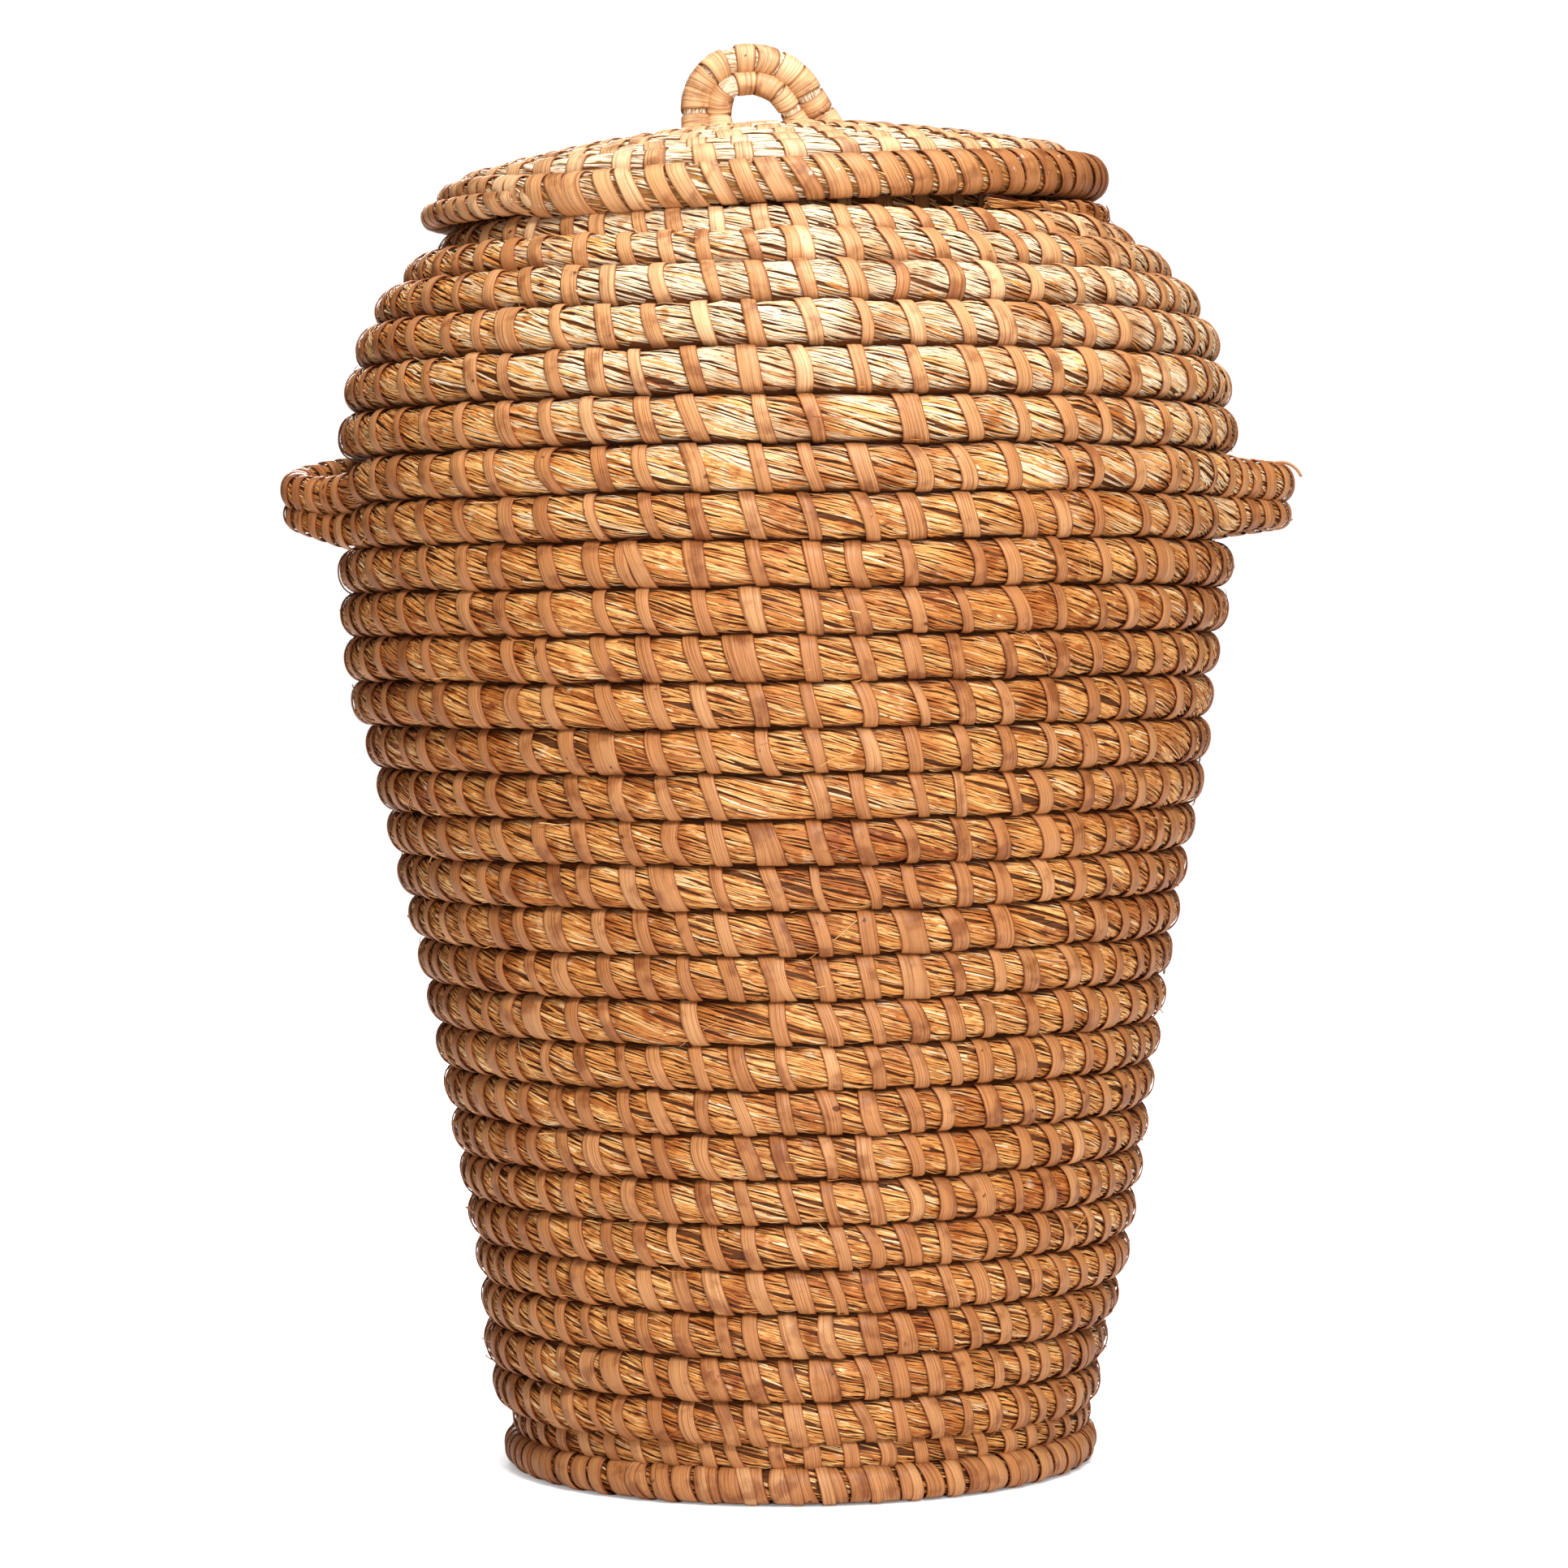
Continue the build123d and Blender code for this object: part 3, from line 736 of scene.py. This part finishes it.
def coil_track(stations, step=1.0):
    """Azimuth, radius, height, rise and turn along a coil: level, then a climb to the next station."""
    travel = np.arange(0, 360 * (len(stations) - 1) + step, step)
    turn = np.minimum((travel // 360).astype(int), len(stations) - 2)
    within = travel - 360 * turn
    climb = np.clip((within - LEVEL_SPAN) / (360 - LEVEL_SPAN), 0, 1)
    share = ease(climb)[:, None]
    stations = np.array(stations)
    radius, height = (stations[turn] * (1 - share) + stations[turn + 1] * share).T
    rise = np.where(within < LEVEL_SPAN, within / LEVEL_SPAN - 0.5, 0.5 - climb)
    return CLIMB_END - travel, radius, height, rise, turn


def ring_points(azimuth, radius, height):
    angle = azimuth * DEGREE
    return np.column_stack(np.broadcast_arrays(radius * np.cos(angle), radius * np.sin(angle), height))


def radial(azimuth):
    return ring_points(azimuth, 1.0, 0.0)


def straight_up(count):
    return np.tile([0.0, 0.0, 1.0], (count, 1))


def around_side(azimuth, side):
    """Angle from a handle's middle, from -180 to 180."""
    return (azimuth - side + 180) % 360 - 180


def bow_radius(radius, away):
    """Radius of a handle course at an angle from the handle's middle: tip circle and flared legs."""
    half = HANDLE_HALF_ANGLE * DEGREE
    away = np.minimum(np.abs(away) * DEGREE, half)
    tip_centre = radius + HANDLE_REACH - HANDLE_TIP_RADIUS
    across = tip_centre * math.cos(half)
    flare = HANDLE_TIP_RADIUS**2 - radius**2 - tip_centre**2 + 2 * radius * across
    flare /= 2 * (radius - across - HANDLE_TIP_RADIUS)
    flare_centre = radius + flare
    tip_half_chord = np.sqrt(np.maximum(HANDLE_TIP_RADIUS**2 - (tip_centre * np.sin(away)) ** 2, 0))
    leg_half_chord = np.sqrt(np.maximum(flare**2 - (flare_centre * np.sin(half - away)) ** 2, 0))
    meeting = HANDLE_TIP_RADIUS / (flare + HANDLE_TIP_RADIUS)
    meeting_across = flare_centre * math.sin(half) * meeting
    meeting_out = tip_centre + (flare_centre * math.cos(half) - tip_centre) * meeting
    tip = tip_centre * np.cos(away) + tip_half_chord
    leg = flare_centre * np.cos(half - away) - leg_half_chord
    return np.where(away < math.atan2(meeting_across, meeting_out), tip, leg)


def uneven(azimuth, level, size, waves=(2, 10), drift=0.35):
    """Smooth unevenness by azimuth and level. A small drift makes neighbouring courses alike."""
    total = np.zeros(len(azimuth))
    for wave in range(*waves):
        phase = rng.uniform(0, 2 * math.pi) + level * rng.normal(0, drift)
        total += np.sin(wave * azimuth * DEGREE + phase) / math.sqrt(wave / waves[0])
    return total * size / math.sqrt(waves[1] - waves[0])


# Wall

def wall_station(node):
    """Radius and height of a wall course's centre line."""
    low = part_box(node)[0]
    return -low.y - COIL_RADIUS, low.z + COIL_RADIUS


wall_stations = [wall_station(node) for node in wall_nodes]
mouth_radius = wall_stations[-1][0]
mouth_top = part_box(wall_nodes[-1])[1].z
wall_stations.append((mouth_radius - TAIL_CLIMB_IN, mouth_top - COIL_RADIUS))


def wall_bundle():
    """The whole wall coil, with its handles, as one bundle: one row a degree."""
    azimuth, radius, height, rise, turn = coil_track(wall_stations)
    level = (CLIMB_END - azimuth) / 360
    shoulder = smooth(*SHOULDER_LEVELS, level)
    radius = radius - SHOULDER_DRAW_IN * shoulder * smooth(*MOUTH_LEVELS, level)
    height = height + FRONT_RISE * rise + SHOULDER_RAISE * shoulder
    thick = STRAW_RADIUS + (TAIL_RADIUS - STRAW_RADIUS) * smooth(*TAPER_LEVELS, level)
    beside = (1 - SHADE_LOST * smooth(*SHADE_LOSS_LEVELS, level)) * smooth(*SHADE_END_LEVELS, level)
    slant = np.gradient(np.array(wall_stations), axis=0)
    slant_out, slant_up = (np.interp(level, np.arange(len(slant)), column) for column in slant.T)
    handles = zip(HANDLE_SIDES, HANDLE_THINNING, HANDLE_TIP_SHIFT, HANDLE_TILT)
    for side, thinnings, shifts, tilt in handles:
        away = around_side(azimuth, side)
        for handle_turn, thinning, shift in zip(HANDLE_TURNS, thinnings, shifts):
            here = (turn == handle_turn) & (np.abs(away) < HANDLE_HALF_ANGLE)
            bowed = here * smooth(HANDLE_HALF_ANGLE, HANDLE_FULL_BOW, np.abs(away))
            thick = thick * (1 - thinning * bowed)
            beside = beside * smooth(*HANDLE_SHADE_BOW, bowed)
            radius = np.where(here, bow_radius(wall_stations[handle_turn][0], away), radius)
            radius = radius + HANDLE_PUSH_OUT * (STRAW_RADIUS - thick) * bowed
            height = height + shift * bowed
            height = height - tilt * here * np.sin(math.pi * away / HANDLE_HALF_ANGLE)
            slant_out = np.where(here, 0, slant_out)
    radius = radius + uneven(azimuth, level, WALL_UNEVEN_OUT)
    height = height + uneven(azimuth, level, WALL_UNEVEN_UP)
    height = height + uneven(azimuth, level, WALL_RIPPLE, waves=(16, 34), drift=9.0)
    thick = thick + uneven(azimuth, level, WALL_RIPPLE, waves=(9, 30), drift=5.0)
    upward = radial(azimuth) * slant_out[:, None] + straight_up(len(azimuth)) * slant_up[:, None]
    line = ring_points(azimuth, radius, height)
    line[:, 0] += np.interp(height, SWAY_HEIGHTS, SWAY)
    return Bundle(line, unit(upward), thick, COIL_TALL, beside)


def wall_distance(travel):
    """Distance along the wall coil after so many degrees of travel."""
    return np.interp(travel, np.arange(len(wall.distance)), wall.distance)


def stitch_places(turn):
    """Distances of a wall course's strips, in columns that lean a little from course to course."""
    column = np.arange(STITCHES_PER_TURN) * 360 / STITCHES_PER_TURN
    column = column + STITCH_COLUMN_LEAN * turn + rng.normal(0, STITCH_STRAY, STITCHES_PER_TURN)
    travel = column % 360
    travel = travel[rng.random(len(travel)) > STITCHES_MISSING]
    doubled = travel[rng.random(len(travel)) < STITCHES_DOUBLED] + DOUBLE_STEP
    travel = np.sort(np.concatenate([travel, doubled]))
    if turn in HANDLE_TURNS:
        for side in HANDLE_SIDES:
            travel = travel[np.abs(around_side(CLIMB_END - travel, side)) > HANDLE_WRAPPED]
    return wall_distance(travel + 360 * turn)


def handle_wraps(turn):
    """Distances of the close wraps round the bows of a handle course. Other courses have none."""
    wraps = [np.array([])]
    for side in HANDLE_SIDES if turn in HANDLE_TURNS else ():
        middle = 360 * turn + CLIMB_END - side
        first, last = wall_distance(np.array([middle - HANDLE_WRAPPED, middle + HANDLE_WRAPPED]))
        places = np.arange(first, last, WRAP_SPACING)
        wraps.append(places + rng.normal(0, WRAP_STRAY, len(places)))
    return np.concatenate(wraps)


wall = wall_bundle()
wall.lean = STRIP_LEAN
course_ties = [stitch_places(turn) for turn in range(len(wall_nodes))]
course_wraps = [handle_wraps(turn) for turn in range(len(wall_nodes))]
wall.ties = np.sort(np.concatenate(course_ties + course_wraps))

frays = Gather()
for turn, node in enumerate(wall_nodes):
    start, end = wall_distance(np.array([360 * turn, 360 * (turn + 1)]))
    # Painted light from above: the shoulder courses grow paler
    pale = SHOULDER_PAINTED_LIGHT * smooth(*PAINTED_LIGHT_COURSES, turn)
    bundle_straws = Gather()
    lay_core(bundle_straws, wall, start, end, CORE_RIDGE)
    outside = int(STRAWS_PER_METRE * (end - start))
    inside = int(INSIDE_STRAWS_PER_METRE * (end - start))
    lay_straws(bundle_straws, wall, start, end, outside, OUTSIDE, pale=pale)
    lay_straws(bundle_straws, wall, start, end, inside, INSIDE, width=(1.4, 2.8))
    bundle_straws.piece(f"straw_{node}", "root", [core, straw], [node])
    strips = Gather()
    ties, wraps = course_ties[turn], course_wraps[turn]
    leans = rng.normal(STRIP_LEAN, STRIP_LEAN_SPREAD, len(ties))
    bind(strips, wall, ties, strip_widths(len(ties)), leans, pale=0.5 * pale)
    bind(strips, wall, wraps, strip_widths(len(wraps), WRAP_WIDTH, WRAP_WIDTH_SPREAD), WRAP_LEAN)
    strips.piece(f"strips_{node}", "root", [strip])
    lay_straws(
        frays, wall, start, end, FRAYS_PER_COURSE, OUTSIDE, length=(8, 30), width=(0.35, 0.8),
        slope=(-30, 60), lift=(0.1, 0.5), loose=1.0, stray=(0.8, 3.2), pinch=0.0,
    )
frays.piece("loose_fibres", "root", [core, straw])


def curled_strip():
    """A strip end that has sprung off the top of the right handle."""
    width, length, drift = 2.6 * MM, 20 * MM, 3.0 * MM
    root_turn, tip_turn = 2.0, 0.25
    share = np.linspace(0, 1, 16)[:, None]
    middle = wall_distance(np.array([360 * HANDLE_TURNS[1] + CLIMB_END]))
    side, skin = np.array([-0.5, 0.5, 0.5, -0.5]), np.array([0.0, 0.0, 1.1, 1.1])
    distance = middle + drift * share + width * side * (1 - 0.5 * share)
    turn = np.broadcast_to(root_turn - (root_turn - tip_turn) * share, distance.shape)
    lift = (0.3 + 3.2 * share**1.4 + skin) * MM
    curl = Gather()
    curl.add(wall.at(distance, turn, lift)[None], 0.75, length * share, 0.5, 0.0)
    curl.piece("curled_strip", "root", [strip])


curled_strip()


# Rings and flat coils

def even_ties(bundle, spacing, stray):
    """Distances of strips along a bundle."""
    count = int(bundle.length / spacing)
    ties = (np.arange(count) + 0.5) * bundle.length / count
    return ties + rng.normal(0, stray, count)


def make_bundle(
    node, body, bundle, looks=WALL_LOOKS, pale=0.0, brown=LEFT_PAINTED_SHADE, ties=None, sewn_over=False,
    in_cad=True, **straw_options,
):
    """Core, straws and strips of one bundle, which replace its node if it is in CAD."""
    inside, fibres, wood = looks
    sewing = SEWING[node]
    if ties is None:
        ties = even_ties(bundle, sewing.spacing, sewing.stray)
    over = even_ties(bundle, OVER_SPACING, OVER_STRAY) if sewn_over else ()
    widths = strip_widths(len(ties), sewing.width, sewing.spread)
    bundle.ties = np.sort(ties)
    bundle.lean = sewing.lean
    bundle_straws = Gather()
    lay_core(bundle_straws, bundle, 0, bundle.length)
    straw_options.update(pale=pale, brown=brown)
    lay_straws(bundle_straws, bundle, 0, bundle.length, sewing.straws, **straw_options)
    bundle_straws.piece(f"straw_{node}", body, [inside, fibres], [node] if in_cad else ())
    strips = Gather()
    lean_spread = LEAN_SPREAD_SHARE * sewing.lean + LEAN_SPREAD_LEAST
    leans = rng.normal(sewing.lean, lean_spread, len(ties))
    bind(strips, bundle, ties, widths, leans, pale=pale / 2, brown=brown)
    if sewn_over:
        widths = strip_widths(len(over), OVER_WIDTH, OVER_WIDTH_SPREAD)
        bind(strips, bundle, over, widths, sewing.lean, OVER_LIFT, OVER_PALE)
    strips.piece(f"strips_{node}", body, [wood])


def lid_place(points):
    """From the lid's frame to the object's."""
    return points @ lid_axes + LID_ORIGIN


lid_x = unit(np.array([1.0, 0.0, LID_RISE_X]))
lid_z = unit(np.array([-LID_RISE_X, -LID_RISE_Y, 1.0]))
lid_axes = np.stack([lid_x, np.cross(lid_z, lid_x), lid_z])


def ring_bundle(radius, height, thick, tall=1.0):
    """A level closed ring."""
    azimuth = np.arange(0.0, -361.0, -1.0)
    line = ring_points(azimuth, radius, height)
    line[-1] = line[0]
    return Bundle(line, straight_up(len(line)), thick, tall)


def flat_coil_bundle(stations, thick, tall, beside=1.0):
    """A flat coil, with its outward side on top."""
    azimuth, radius, height = coil_track(stations)[:3]
    return Bundle(ring_points(azimuth, radius, height), -radial(azimuth), thick, tall, beside)


def on_lid(bundle):
    """The same bundle, made in the lid's frame, at its place on the object."""
    line, outward, upward = (bundle.table[:, i : i + 3] for i in (0, 3, 6))
    bundle.table[:, 0:3] = lid_place(line)
    bundle.table[:, 3:6] = outward @ lid_axes
    bundle.table[:, 6:9] = upward @ lid_axes
    return bundle


foot_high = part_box("foot_ring")[1]
foot_ring_radius = foot_high.x - FOOT_RADIUS
foot_height = foot_high.z - FOOT_RADIUS
foot = ring_bundle(foot_ring_radius + FOOT_SET_OUT, foot_height + FOOT_LIFT, FOOT_RADIUS - FOOT_THINNING)
make_bundle("foot_ring", "root", foot, sewn_over=True)

start_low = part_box("start_course")[0]
start_station = (-start_low.y - START_RADIUS, start_low.z + START_RADIUS)


def start_bundle():
    """First course of the wall, which grows to full thickness as it climbs to the next."""
    azimuth, radius, height = coil_track([start_station, wall_stations[0]])[:3]
    travelled = (CLIMB_END - azimuth) / 360
    radius = radius + START_SET_OUT * smooth(*START_SET_OUT_TURNS, travelled)
    thick = START_RADIUS + (STRAW_RADIUS - START_RADIUS) * smooth(*START_GROWTH_TURNS, travelled)
    return Bundle(ring_points(azimuth, radius, height), straight_up(len(azimuth)), thick, COIL_TALL)


make_bundle("start_course", "root", start_bundle())

base_stations = [(BASE_INNER_RADIUS + turn * BASE_PITCH, BASE_HEIGHT) for turn in range(BASE_TURNS)]
base_stations.append((foot_ring_radius - FOOT_RADIUS, BASE_HEIGHT))
make_bundle("base_coil", "root", flat_coil_bundle(base_stations, BASE_RADIUS, BASE_TALL), width=(1.3, 2.6))


def knot_bundle(outer, thick, height):
    """Tight start of a flat coil: a small ring drawn together in the middle."""
    station = (outer - thick, height)
    return flat_coil_bundle([station, station], thick, 1.0)


base_knot = knot_bundle(BASE_INNER_RADIUS - BASE_RADIUS, BASE_RADIUS, BASE_HEIGHT)
make_bundle("base_knot", "root", base_knot, length=KNOT_STRAW_LENGTHS)


# Lid

lid_radii = [LID_INNER_RADIUS + turn * LID_PITCH for turn in range(LID_TURNS)]


def dome(radius):
    """Height of the lid's coil above the rim."""
    return LID_RISE - (LID_RISE - LID_EDGE_RISE) * (radius / lid_radii[-1]) ** 2


def rim_bundle():
    """The lid's rim, one row a degree, with soft changes between its stops."""
    azimuth = np.arange(RIM_END, RIM_START - 1, -1.0)
    soft = np.hanning(2 * RIM_SOFTENING + 1)
    soft /= soft.sum()
    rows = []
    for stops in (RIM_RADII, RIM_HEIGHTS, RIM_THICKNESSES):
        row = np.pad(np.interp(azimuth, RIM_STOPS, stops), RIM_SOFTENING, mode="edge")
        rows.append(np.convolve(row, soft, "valid"))
    radius, height, thick = rows
    line = ring_points(azimuth, radius, height)
    return on_lid(Bundle(line, straight_up(len(line)), thick, beside=0.0))


make_bundle("lid_rim", "lid", rim_bundle(), RIM_LOOKS, pale=0.6, brown=RIM_PAINTED_SHADE)

lid_stations = [(radius, dome(radius)) for radius in lid_radii]
lid_stations.append((LID_RIM_RADIUS - LID_END_SET_IN, LID_EDGE_RISE - LID_END_DROP))
lid_coil = flat_coil_bundle(lid_stations, LID_COIL_RADIUS, LID_COIL_TALL, LID_COIL_SHADE)
lid_coil.table[:, 2] -= LID_RIGHT_SAG * smooth(*LID_SAG_SPAN, lid_coil.table[:, 0])
make_bundle("lid_coil", "lid", on_lid(lid_coil), LID_LOOKS, pale=0.3, slope=(2, 12))

lid_knot = knot_bundle(LID_INNER_RADIUS - LID_COIL_RADIUS, LID_KNOT_RADIUS, dome(LID_INNER_RADIUS))
make_bundle("lid_knot", "lid", on_lid(lid_knot), LID_LOOKS, pale=0.2, length=KNOT_STRAW_LENGTHS)

collar = ring_bundle(COLLAR_RADIUS, COLLAR_HEIGHT, COLLAR_THICK, COLLAR_TALL)
make_bundle("lid_collar", "lid", on_lid(collar))


def grip_line(radius):
    """Upright left leg, arch with a wider right half, and a right leg that slopes down into the lid."""
    lid_top = LID_RISE + LID_COIL_RADIUS
    foot_height = lid_top - GRIP_SINK
    spring = lid_top + GRIP_SPRING
    wide = radius + GRIP_WIDENING
    leg_rows, arch_rows, sloped_rows = 12, 30, 14
    quarter = np.linspace(0, math.pi / 2, arch_rows, endpoint=False)
    bend = np.linspace(0, GRIP_LEG_SLOPE, arch_rows, endpoint=False)
    flat_end = GRIP_SHIFT + GRIP_FLAT
    leg_x = flat_end + wide * math.sin(GRIP_LEG_SLOPE)
    leg_top = spring - GRIP_WIDENING + wide * math.cos(GRIP_LEG_SLOPE)
    leg_run = (leg_top - foot_height) / math.tan(GRIP_LEG_SLOPE)
    x = np.concatenate([
        np.full(leg_rows, GRIP_SHIFT - radius),
        GRIP_SHIFT - radius * np.cos(quarter),
        flat_end + wide * np.sin(bend),
        leg_x + np.linspace(0, leg_run, sloped_rows),
    ])
    z = np.concatenate([
        np.linspace(foot_height, spring, leg_rows, endpoint=False),
        spring + radius * np.sin(quarter),
        spring - GRIP_WIDENING + wide * np.cos(bend),
        np.linspace(leg_top, foot_height, sloped_rows),
    ])
    return np.column_stack([x, np.zeros(len(x)), z])


for name, radius, thick in GRIP_ROPES:
    line = grip_line(radius)
    towards_front = np.tile([0.0, -1.0, 0.0], (len(line), 1))
    rope = on_lid(Bundle(line, towards_front, thick + GRIP_PADDING, beside=0.0))
    make_bundle(name, "lid", rope, LID_LOOKS, pale=0.25, length=(25, 60), width=(0.6, 1.3))


# Loose end of the wall coil on the mouth: its straws spread towards the tip

tail_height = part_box("coil_tail")[1].z - TAIL_RADIUS
tail_azimuth = np.arange(CLIMB_END, TAIL_END - 0.5, -0.5)
tail_share = ease((CLIMB_END - tail_azimuth) / (CLIMB_END - TAIL_END))
tail_track = (mouth_radius - TAIL_CLIMB_IN) * (1 - tail_share) + (mouth_radius - TAIL_SET_IN) * tail_share
tail = Bundle(
    ring_points(tail_azimuth, tail_track, tail_height),
    straight_up(len(tail_azimuth)),
    TAIL_RADIUS * (1 - TAIL_TIP_THINNING * smooth(*TAIL_TIP, tail_share)),
)
make_bundle(
    "coil_tail", "root", tail, ties=tail.length * TAIL_TIES, slope=(-4, 16), loose=0.45, stray=(0.5, 3.0),
    lift=(-1.6, 0.4), width=(0.8, 1.9),
)

# Thin start of the coil, which fills the wedge below the first climb

thin_azimuth = np.arange(CLIMB_START, CLIMB_END - 1, -1.0)
thin_share = np.maximum(ease((CLIMB_START - thin_azimuth) / (CLIMB_START - CLIMB_END)), THIN_START)
thin_radius = start_station[0] + START_SET_OUT
thin_height = start_station[1] - COIL_TALL * START_RADIUS * (1 - thin_share)
thin_start = Bundle(
    ring_points(thin_azimuth, thin_radius, thin_height),
    straight_up(len(thin_azimuth)),
    START_RADIUS * thin_share,
    COIL_TALL,
)
make_bundle("coil_start", "root", thin_start, in_cad=False, length=(30, 80))


# Floor, light and camera

def pale_floor():
    """Pale floor that is white to the camera away from the object and keeps its shadow."""
    material, tree, shader = new_material("pale_floor")
    shader.inputs["Base Color"].default_value = (0.9, 0.9, 0.9, 1.0)
    shader.inputs["Roughness"].default_value = 0.9
    shader.inputs["Emission Color"].default_value = (1.0, 1.0, 1.0, 1.0)
    place = add_node(tree, "ShaderNodeTexCoord").outputs["Object"]
    away = add_node(tree, "ShaderNodeVectorMath", {0: place}, operation="LENGTH").outputs["Value"]
    near, far = SHADOW_REACH
    glow = add_node(
        tree,
        "ShaderNodeMapRange",
        {"Value": away, "From Min": near, "From Max": far, "To Min": 0.0, "To Max": 1.0},
    )
    seen = add_node(tree, "ShaderNodeLightPath").outputs["Is Camera Ray"]
    tree.links.new(math_node(tree, "MULTIPLY", glow.outputs[0], seen), shader.inputs["Emission Strength"])
    mesh = bpy.data.meshes.new("floor")
    corners = [(-1, -1), (1, -1), (1, 1), (-1, 1)]
    mesh.from_pydata([(x * FLOOR_HALF, y * FLOOR_HALF, 0) for x, y in corners], [], [(0, 1, 2, 3)])
    mesh.materials.append(material)
    made = bpy.data.objects.new("floor", mesh)
    bpy.context.scene.collection.objects.link(made)


def area_light(name, place, size, level):
    """Disc lamp aimed at the basket. At level 1 a white face turned to it renders white."""
    lamp = bpy.data.lights.new(name, "AREA")
    lamp.shape = "DISK"
    lamp.size = size
    aim = Vector(LIGHT_AIM) - Vector(place)
    lamp.energy = level * math.pi**2 * aim.length_squared
    made = bpy.data.objects.new(name, lamp)
    made.location = place
    made.rotation_euler = aim.to_track_quat("-Z", "Y").to_euler()
    bpy.context.scene.collection.objects.link(made)


def white_world():
    """White to the camera, dim as a light."""
    world = bpy.data.worlds.new("studio")
    world.use_nodes = True
    tree = world.node_tree
    background = tree.nodes["Background"]
    background.inputs["Color"].default_value = (1.0, 1.0, 1.0, 1.0)
    seen = add_node(tree, "ShaderNodeLightPath").outputs["Is Camera Ray"]
    tree.links.new(math_node(tree, "MAXIMUM", seen, WORLD_LEVEL), background.inputs["Strength"])
    bpy.context.scene.world = world


pale_floor()
white_world()
for lamp in LAMPS:
    area_light(*lamp)

camera = bpy.data.objects.new("camera", bpy.data.cameras.new("camera"))
camera.data.lens = CAMERA_LENS
camera.data.sensor_width = SENSOR_WIDTH
camera.location = CAMERA_PLACE
camera.rotation_euler = ((90 - CAMERA_PITCH) * DEGREE, CAMERA_ROLL * DEGREE, 0)
bpy.context.scene.collection.objects.link(camera)
bpy.context.scene.camera = camera
bpy.context.scene.view_settings.view_transform = "Standard"
